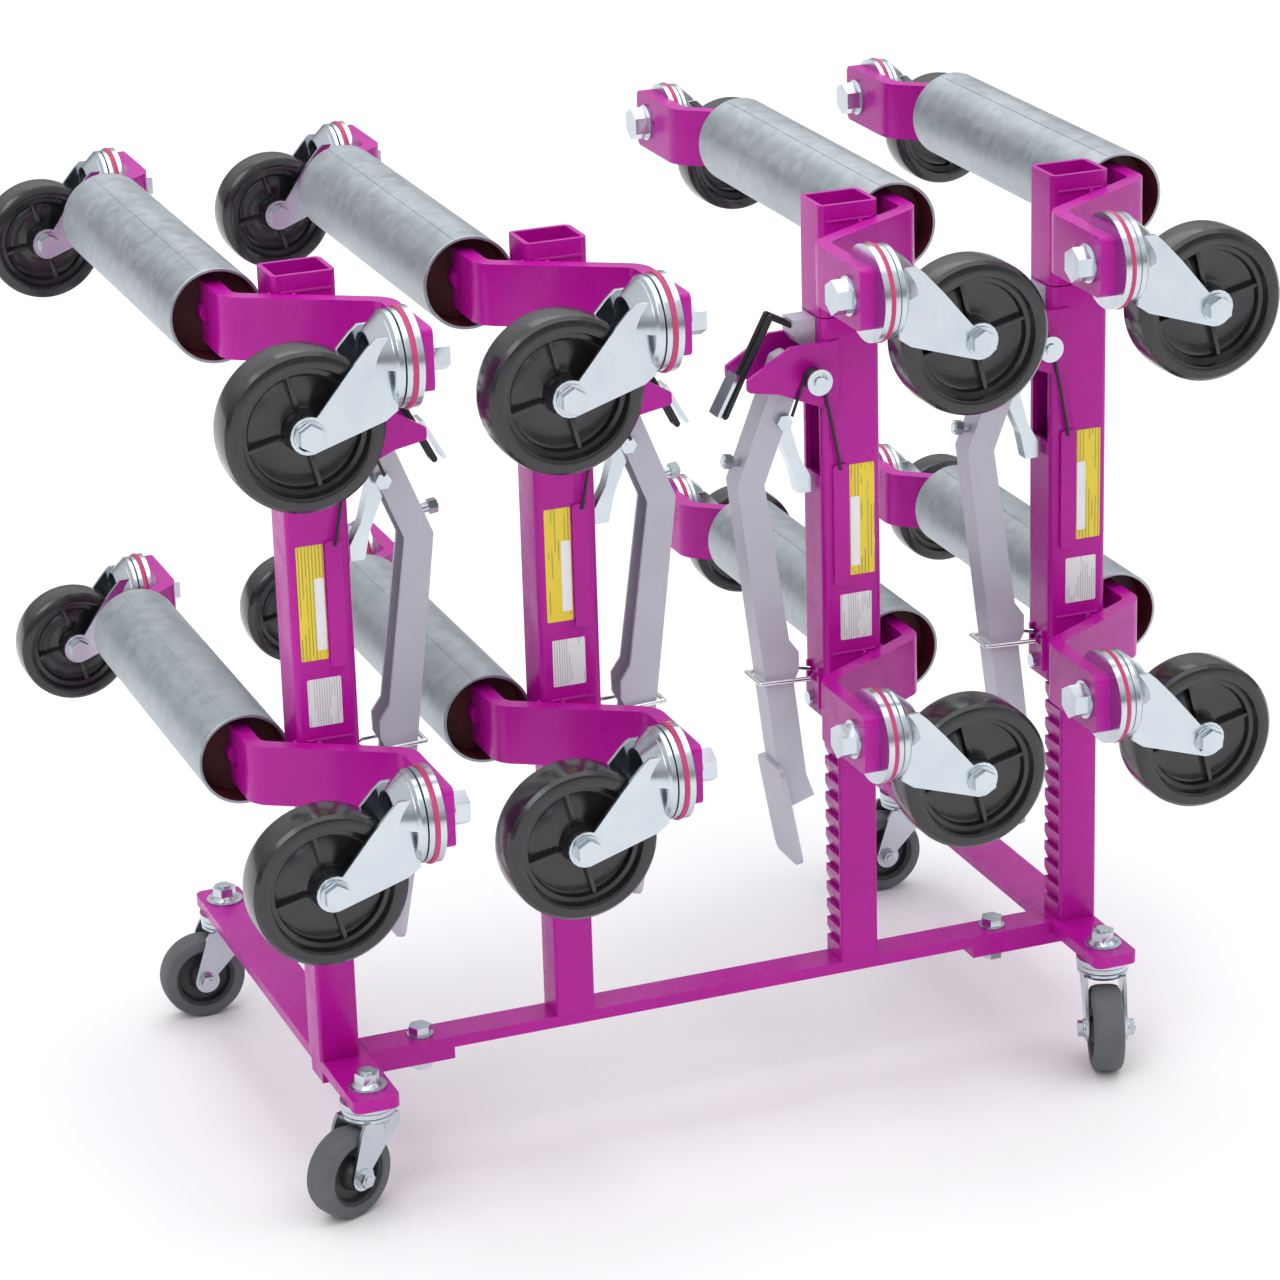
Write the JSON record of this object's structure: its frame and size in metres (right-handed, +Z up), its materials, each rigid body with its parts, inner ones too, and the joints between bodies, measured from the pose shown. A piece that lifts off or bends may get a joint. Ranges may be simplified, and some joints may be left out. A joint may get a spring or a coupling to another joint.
{
  "type": "dolly storage rack",
  "caption": "Low wheeled steel rack carrying four ratchet wheel dollies, each with a square sliding column, paired rollers, a foot pedal and swivel casters.",
  "frame": {"origin": "bottom centre of the overall bounding box", "axes": "+X along the rack, +Y from the near casters to the far casters, +Z up"},
  "size_m": [0.9492, 0.6699, 0.7739],
  "materials": {
    "powder_coat": "semi-gloss magenta powder coat",
    "zinc": "bright bluish zinc plating",
    "galvanised": "dull galvanised tube",
    "black_wheel": "glossy black moulded wheel",
    "grey_tyre": "matte dark grey tyre",
    "silver_paint": "satin silver-grey paint"
  },
  "bodies": {
    "rack": {"rack_end_frame_left": "powder_coat", "rack_end_frame_right": "powder_coat", "rack_centre_rail": "powder_coat", "rack_fasteners": "zinc"},
    "rack_fork_front_left": {"rack_fork_front_left": "zinc"},
    "rack_wheel_front_left": {"rack_wheel_front_left": "grey_tyre"},
    "rack_fork_front_right": {"rack_fork_front_right": "zinc"},
    "rack_wheel_front_right": {"rack_wheel_front_right": "grey_tyre"},
    "rack_fork_back_left": {"rack_fork_back_left": "zinc"},
    "rack_wheel_back_left": {"rack_wheel_back_left": "grey_tyre"},
    "rack_fork_back_right": {"rack_fork_back_right": "zinc"},
    "rack_wheel_back_right": {"rack_wheel_back_right": "grey_tyre"},
    "jack1_upper_frame": {"jack1_upper_frame": "powder_coat"},
    "jack1_lower_frame": {"jack1_lower_frame": "powder_coat"},
    "jack1_pedal": {"jack1_pedal": "silver_paint"},
    "jack1_roller_upper": {"jack1_roller_upper": "galvanised"},
    "jack1_roller_lower": {"jack1_roller_lower": "galvanised"},
    "jack1_fork_upper_near": {"jack1_fork_upper_near": "zinc"},
    "jack1_fork_upper_far": {"jack1_fork_upper_far": "zinc"},
    "jack1_fork_lower_near": {"jack1_fork_lower_near": "zinc"},
    "jack1_tail_caster": {"jack1_tail_caster": "zinc"},
    "jack1_wheel_upper_near": {"jack1_wheel_upper_near": "black_wheel"},
    "jack1_wheel_upper_far": {"jack1_wheel_upper_far": "black_wheel"},
    "jack1_wheel_lower_near": {"jack1_wheel_lower_near": "black_wheel"},
    "jack2_upper_frame": {"jack2_upper_frame": "powder_coat"},
    "jack2_lower_frame": {"jack2_lower_frame": "powder_coat"},
    "jack2_pedal": {"jack2_pedal": "silver_paint"},
    "jack2_roller_upper": {"jack2_roller_upper": "galvanised"},
    "jack2_roller_lower": {"jack2_roller_lower": "galvanised"},
    "jack2_fork_upper_near": {"jack2_fork_upper_near": "zinc"},
    "jack2_fork_upper_far": {"jack2_fork_upper_far": "zinc"},
    "jack2_fork_lower_near": {"jack2_fork_lower_near": "zinc"},
    "jack2_tail_caster": {"jack2_tail_caster": "zinc"},
    "jack2_wheel_upper_near": {"jack2_wheel_upper_near": "black_wheel"},
    "jack2_wheel_upper_far": {"jack2_wheel_upper_far": "black_wheel"},
    "jack2_wheel_lower_near": {"jack2_wheel_lower_near": "black_wheel"},
    "jack3_upper_frame": {"jack3_upper_frame": "powder_coat"},
    "jack3_lower_frame": {"jack3_lower_frame": "powder_coat"},
    "jack3_pedal": {"jack3_pedal": "silver_paint"},
    "jack3_roller_upper": {"jack3_roller_upper": "galvanised"},
    "jack3_roller_lower": {"jack3_roller_lower": "galvanised"},
    "jack3_fork_upper_near": {"jack3_fork_upper_near": "zinc"},
    "jack3_fork_upper_far": {"jack3_fork_upper_far": "zinc"},
    "jack3_fork_lower_near": {"jack3_fork_lower_near": "zinc"},
    "jack3_tail_caster": {"jack3_tail_caster": "zinc"},
    "jack3_wheel_upper_near": {"jack3_wheel_upper_near": "black_wheel"},
    "jack3_wheel_upper_far": {"jack3_wheel_upper_far": "black_wheel"},
    "jack3_wheel_lower_near": {"jack3_wheel_lower_near": "black_wheel"},
    "jack4_upper_frame": {"jack4_upper_frame": "powder_coat"},
    "jack4_lower_frame": {"jack4_lower_frame": "powder_coat"},
    "jack4_pedal": {"jack4_pedal": "silver_paint"},
    "jack4_roller_upper": {"jack4_roller_upper": "galvanised"},
    "jack4_roller_lower": {"jack4_roller_lower": "galvanised"},
    "jack4_fork_upper_near": {"jack4_fork_upper_near": "zinc"},
    "jack4_fork_upper_far": {"jack4_fork_upper_far": "zinc"},
    "jack4_fork_lower_near": {"jack4_fork_lower_near": "zinc"},
    "jack4_tail_caster": {"jack4_tail_caster": "zinc"},
    "jack4_wheel_upper_near": {"jack4_wheel_upper_near": "black_wheel"},
    "jack4_wheel_upper_far": {"jack4_wheel_upper_far": "black_wheel"},
    "jack4_wheel_lower_near": {"jack4_wheel_lower_near": "black_wheel"}
  },
  "joints": [
    {"name": "swivel_rack_front_left", "type": "hinge", "parent": "rack", "child": "rack_fork_front_left", "pos_m": [-0.332, -0.224, 0.095], "axis": [0, 0, 1], "continuous": true},
    {"name": "roll_rack_front_left", "type": "hinge", "parent": "rack_fork_front_left", "child": "rack_wheel_front_left", "pos_m": [-0.35466, -0.23456, 0.0375], "axis": [0.4226, -0.9063, 0], "continuous": true},
    {"name": "swivel_rack_front_right", "type": "hinge", "parent": "rack", "child": "rack_fork_front_right", "pos_m": [0.332, -0.224, 0.095], "axis": [0, 0, 1], "continuous": true},
    {"name": "roll_rack_front_right", "type": "hinge", "parent": "rack_fork_front_right", "child": "rack_wheel_front_right", "pos_m": [0.32345, -0.24749, 0.0375], "axis": [0.9397, -0.342, 0], "continuous": true},
    {"name": "swivel_rack_back_left", "type": "hinge", "parent": "rack", "child": "rack_fork_back_left", "pos_m": [-0.332, 0.187, 0.095], "axis": [0, 0, 1], "continuous": true},
    {"name": "roll_rack_back_left", "type": "hinge", "parent": "rack_fork_back_left", "child": "rack_wheel_back_left", "pos_m": [-0.357, 0.187, 0.0375], "axis": [0, -1, 0], "continuous": true},
    {"name": "swivel_rack_back_right", "type": "hinge", "parent": "rack", "child": "rack_fork_back_right", "pos_m": [0.332, 0.187, 0.095], "axis": [0, 0, 1], "continuous": true},
    {"name": "roll_rack_back_right", "type": "hinge", "parent": "rack_fork_back_right", "child": "rack_wheel_back_right", "pos_m": [0.307, 0.187, 0.0375], "axis": [0, -1, 0], "continuous": true},
    {"name": "lift_1", "type": "slide", "parent": "rack", "child": "jack1_upper_frame", "axis": [0, 0, 1], "range_m": [0, 0.1]},
    {"name": "grip_1", "type": "slide", "parent": "jack1_upper_frame", "child": "jack1_lower_frame", "axis": [0, 0, 1], "range_m": [-0.085, 0]},
    {"name": "pedal_1", "type": "hinge", "parent": "jack1_lower_frame", "child": "jack1_pedal", "pos_m": [-0.296, -0.15, 0.633], "axis": [0, -1, 0], "range_deg": [0, 8], "stiffness_Nm_per_rad": 2},
    {"name": "roller_1_upper", "type": "hinge", "parent": "jack1_upper_frame", "child": "jack1_roller_upper", "pos_m": [-0.3906, 0.03, 0.735], "axis": [0, 1, 0], "continuous": true},
    {"name": "swivel_1_upper_near", "type": "hinge", "parent": "jack1_upper_frame", "child": "jack1_fork_upper_near", "pos_m": [-0.29, -0.296, 0.735], "axis": [1, 0, 0], "continuous": true},
    {"name": "roll_1_upper_near", "type": "hinge", "parent": "jack1_fork_upper_near", "child": "jack1_wheel_upper_near", "pos_m": [-0.378, -0.296, 0.691], "axis": [0, 1, 0], "continuous": true},
    {"name": "swivel_1_upper_far", "type": "hinge", "parent": "jack1_upper_frame", "child": "jack1_fork_upper_far", "pos_m": [-0.3556, 0.302, 0.735], "axis": [1, 0, 0], "continuous": true},
    {"name": "roll_1_upper_far", "type": "hinge", "parent": "jack1_fork_upper_far", "child": "jack1_wheel_upper_far", "pos_m": [-0.4246, 0.302, 0.697], "axis": [0, 1, 0], "continuous": true},
    {"name": "roller_1_lower", "type": "hinge", "parent": "jack1_lower_frame", "child": "jack1_roller_lower", "pos_m": [-0.3906, 0.03, 0.365], "axis": [0, 1, 0], "continuous": true},
    {"name": "swivel_1_lower_near", "type": "hinge", "parent": "jack1_lower_frame", "child": "jack1_fork_lower_near", "pos_m": [-0.29, -0.296, 0.365], "axis": [1, 0, 0], "continuous": true},
    {"name": "roll_1_lower_near", "type": "hinge", "parent": "jack1_fork_lower_near", "child": "jack1_wheel_lower_near", "pos_m": [-0.378, -0.296, 0.321], "axis": [0, 1, 0], "continuous": true},
    {"name": "swivel_1_tail", "type": "hinge", "parent": "jack1_lower_frame", "child": "jack1_tail_caster", "pos_m": [-0.3556, 0.302, 0.365], "axis": [1, 0, 0], "continuous": true},
    {"name": "lift_2", "type": "slide", "parent": "rack", "child": "jack2_upper_frame", "axis": [0, 0, 1], "range_m": [0, 0.1]},
    {"name": "grip_2", "type": "slide", "parent": "jack2_upper_frame", "child": "jack2_lower_frame", "axis": [0, 0, 1], "range_m": [-0.085, 0]},
    {"name": "pedal_2", "type": "hinge", "parent": "jack2_lower_frame", "child": "jack2_pedal", "pos_m": [-0.089, -0.15, 0.633], "axis": [0, -1, 0], "range_deg": [0, 5], "stiffness_Nm_per_rad": 2},
    {"name": "roller_2_upper", "type": "hinge", "parent": "jack2_upper_frame", "child": "jack2_roller_upper", "pos_m": [-0.1836, 0.03, 0.735], "axis": [0, 1, 0], "continuous": true},
    {"name": "swivel_2_upper_near", "type": "hinge", "parent": "jack2_upper_frame", "child": "jack2_fork_upper_near", "pos_m": [-0.083, -0.296, 0.735], "axis": [1, 0, 0], "continuous": true},
    {"name": "roll_2_upper_near", "type": "hinge", "parent": "jack2_fork_upper_near", "child": "jack2_wheel_upper_near", "pos_m": [-0.171, -0.296, 0.691], "axis": [0, 1, 0], "continuous": true},
    {"name": "swivel_2_upper_far", "type": "hinge", "parent": "jack2_upper_frame", "child": "jack2_fork_upper_far", "pos_m": [-0.1486, 0.302, 0.735], "axis": [1, 0, 0], "continuous": true},
    {"name": "roll_2_upper_far", "type": "hinge", "parent": "jack2_fork_upper_far", "child": "jack2_wheel_upper_far", "pos_m": [-0.2176, 0.302, 0.697], "axis": [0, 1, 0], "continuous": true},
    {"name": "roller_2_lower", "type": "hinge", "parent": "jack2_lower_frame", "child": "jack2_roller_lower", "pos_m": [-0.1836, 0.03, 0.365], "axis": [0, 1, 0], "continuous": true},
    {"name": "swivel_2_lower_near", "type": "hinge", "parent": "jack2_lower_frame", "child": "jack2_fork_lower_near", "pos_m": [-0.083, -0.296, 0.365], "axis": [1, 0, 0], "continuous": true},
    {"name": "roll_2_lower_near", "type": "hinge", "parent": "jack2_fork_lower_near", "child": "jack2_wheel_lower_near", "pos_m": [-0.171, -0.296, 0.321], "axis": [0, 1, 0], "continuous": true},
    {"name": "swivel_2_tail", "type": "hinge", "parent": "jack2_lower_frame", "child": "jack2_tail_caster", "pos_m": [-0.1486, 0.302, 0.365], "axis": [1, 0, 0], "continuous": true},
    {"name": "lift_3", "type": "slide", "parent": "rack", "child": "jack3_upper_frame", "axis": [0, 0, 1], "range_m": [0, 0.1]},
    {"name": "grip_3", "type": "slide", "parent": "jack3_upper_frame", "child": "jack3_lower_frame", "axis": [0, 0, 1], "range_m": [-0.085, 0]},
    {"name": "pedal_3", "type": "hinge", "parent": "jack3_lower_frame", "child": "jack3_pedal", "pos_m": [0.089, -0.15, 0.633], "axis": [0, 1, 0], "range_deg": [0, 5], "stiffness_Nm_per_rad": 2},
    {"name": "roller_3_upper", "type": "hinge", "parent": "jack3_upper_frame", "child": "jack3_roller_upper", "pos_m": [0.1836, 0.03, 0.735], "axis": [0, 1, 0], "continuous": true},
    {"name": "swivel_3_upper_near", "type": "hinge", "parent": "jack3_upper_frame", "child": "jack3_fork_upper_near", "pos_m": [0.083, -0.296, 0.735], "axis": [1, 0, 0], "continuous": true},
    {"name": "roll_3_upper_near", "type": "hinge", "parent": "jack3_fork_upper_near", "child": "jack3_wheel_upper_near", "pos_m": [0.171, -0.296, 0.691], "axis": [0, 1, 0], "continuous": true},
    {"name": "swivel_3_upper_far", "type": "hinge", "parent": "jack3_upper_frame", "child": "jack3_fork_upper_far", "pos_m": [0.1486, 0.302, 0.735], "axis": [1, 0, 0], "continuous": true},
    {"name": "roll_3_upper_far", "type": "hinge", "parent": "jack3_fork_upper_far", "child": "jack3_wheel_upper_far", "pos_m": [0.2176, 0.302, 0.697], "axis": [0, 1, 0], "continuous": true},
    {"name": "roller_3_lower", "type": "hinge", "parent": "jack3_lower_frame", "child": "jack3_roller_lower", "pos_m": [0.1836, 0.03, 0.365], "axis": [0, 1, 0], "continuous": true},
    {"name": "swivel_3_lower_near", "type": "hinge", "parent": "jack3_lower_frame", "child": "jack3_fork_lower_near", "pos_m": [0.083, -0.296, 0.365], "axis": [1, 0, 0], "continuous": true},
    {"name": "roll_3_lower_near", "type": "hinge", "parent": "jack3_fork_lower_near", "child": "jack3_wheel_lower_near", "pos_m": [0.171, -0.296, 0.321], "axis": [0, 1, 0], "continuous": true},
    {"name": "swivel_3_tail", "type": "hinge", "parent": "jack3_lower_frame", "child": "jack3_tail_caster", "pos_m": [0.1486, 0.302, 0.365], "axis": [1, 0, 0], "continuous": true},
    {"name": "lift_4", "type": "slide", "parent": "rack", "child": "jack4_upper_frame", "axis": [0, 0, 1], "range_m": [0, 0.1]},
    {"name": "grip_4", "type": "slide", "parent": "jack4_upper_frame", "child": "jack4_lower_frame", "axis": [0, 0, 1], "range_m": [-0.085, 0]},
    {"name": "pedal_4", "type": "hinge", "parent": "jack4_lower_frame", "child": "jack4_pedal", "pos_m": [0.296, -0.15, 0.633], "axis": [0, 1, 0], "range_deg": [0, 8], "stiffness_Nm_per_rad": 2},
    {"name": "roller_4_upper", "type": "hinge", "parent": "jack4_upper_frame", "child": "jack4_roller_upper", "pos_m": [0.3906, 0.03, 0.735], "axis": [0, 1, 0], "continuous": true},
    {"name": "swivel_4_upper_near", "type": "hinge", "parent": "jack4_upper_frame", "child": "jack4_fork_upper_near", "pos_m": [0.29, -0.296, 0.735], "axis": [1, 0, 0], "continuous": true},
    {"name": "roll_4_upper_near", "type": "hinge", "parent": "jack4_fork_upper_near", "child": "jack4_wheel_upper_near", "pos_m": [0.378, -0.296, 0.691], "axis": [0, 1, 0], "continuous": true},
    {"name": "swivel_4_upper_far", "type": "hinge", "parent": "jack4_upper_frame", "child": "jack4_fork_upper_far", "pos_m": [0.3556, 0.302, 0.735], "axis": [1, 0, 0], "continuous": true},
    {"name": "roll_4_upper_far", "type": "hinge", "parent": "jack4_fork_upper_far", "child": "jack4_wheel_upper_far", "pos_m": [0.4246, 0.302, 0.697], "axis": [0, 1, 0], "continuous": true},
    {"name": "roller_4_lower", "type": "hinge", "parent": "jack4_lower_frame", "child": "jack4_roller_lower", "pos_m": [0.3906, 0.03, 0.365], "axis": [0, 1, 0], "continuous": true},
    {"name": "swivel_4_lower_near", "type": "hinge", "parent": "jack4_lower_frame", "child": "jack4_fork_lower_near", "pos_m": [0.29, -0.296, 0.365], "axis": [1, 0, 0], "continuous": true},
    {"name": "roll_4_lower_near", "type": "hinge", "parent": "jack4_fork_lower_near", "child": "jack4_wheel_lower_near", "pos_m": [0.378, -0.296, 0.321], "axis": [0, 1, 0], "continuous": true},
    {"name": "swivel_4_tail", "type": "hinge", "parent": "jack4_lower_frame", "child": "jack4_tail_caster", "pos_m": [0.3556, 0.302, 0.365], "axis": [1, 0, 0], "continuous": true}
  ]
}
